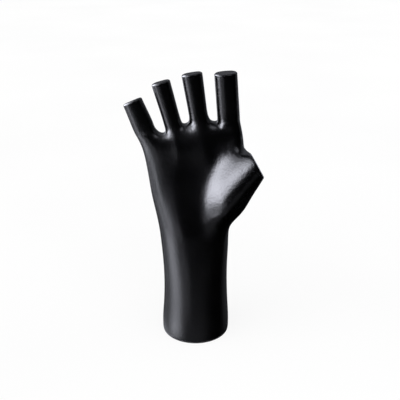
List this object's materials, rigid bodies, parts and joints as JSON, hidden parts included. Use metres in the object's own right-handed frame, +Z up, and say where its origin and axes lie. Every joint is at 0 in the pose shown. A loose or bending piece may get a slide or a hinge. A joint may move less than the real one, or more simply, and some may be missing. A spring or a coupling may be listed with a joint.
{
  "type": "glove display hand",
  "caption": "Free-standing hand form for showing gloves: an upright open right hand on a round forearm, with fingers and thumb cut off flat and a weighted, padded base.",
  "frame": {"origin": "centre of the rest face under the forearm, on the table", "axes": "+Z up along the forearm, -Y the way the palm faces, +X towards the thumb"},
  "size_m": [0.1228, 0.0645, 0.2516],
  "materials": {
    "lacquer": "satin black lacquer over glass-fibre laminate",
    "glass_laminate": "bare glass-fibre tape in polyester resin",
    "plywood": "raw sanded plywood",
    "resin": "cured thickened resin",
    "ballast_steel": "raw laser-cut steel plate",
    "zinc_plated_steel": "bright zinc plate",
    "foot_rubber": "matt black sheet rubber"
  },
  "bodies": {
    "root": {"palm_shell": "lacquer", "back_shell": "lacquer", "seam_tape_little_finger_side": "glass_laminate", "seam_tape_thumb_side": "glass_laminate", "base_disc": "plywood", "bond_bead": "resin", "ballast_disc": "ballast_steel", "ballast_screw_1": "zinc_plated_steel", "ballast_screw_2": "zinc_plated_steel", "ballast_screw_3": "zinc_plated_steel", "foot_pad": "foot_rubber"}
  },
  "joints": []
}
